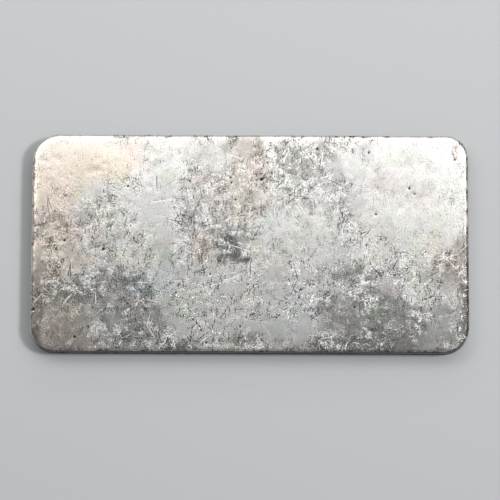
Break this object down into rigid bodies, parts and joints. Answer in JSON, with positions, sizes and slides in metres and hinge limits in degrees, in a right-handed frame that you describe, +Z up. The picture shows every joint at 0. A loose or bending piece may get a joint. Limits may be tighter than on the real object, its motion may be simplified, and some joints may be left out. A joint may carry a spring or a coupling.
{
  "type": "metal ingot",
  "caption": "Small flat rectangular ingot of silver-coloured metal with rounded corners and rims, worn faces and sheared edges, for use as raw stock.",
  "frame": {"origin": "middle of the underside, on the surface that the bar lies on", "axes": "+X along the bar's length, +Y across its width towards the back edge, +Z up through its thickness"},
  "size_m": [0.0508, 0.0256, 0.0023],
  "materials": {
    "worn_silver_metal": "worn satin with fine scratches, pits and patches of tarnish"
  },
  "bodies": {
    "root": {"ingot": "worn_silver_metal"}
  },
  "joints": []
}
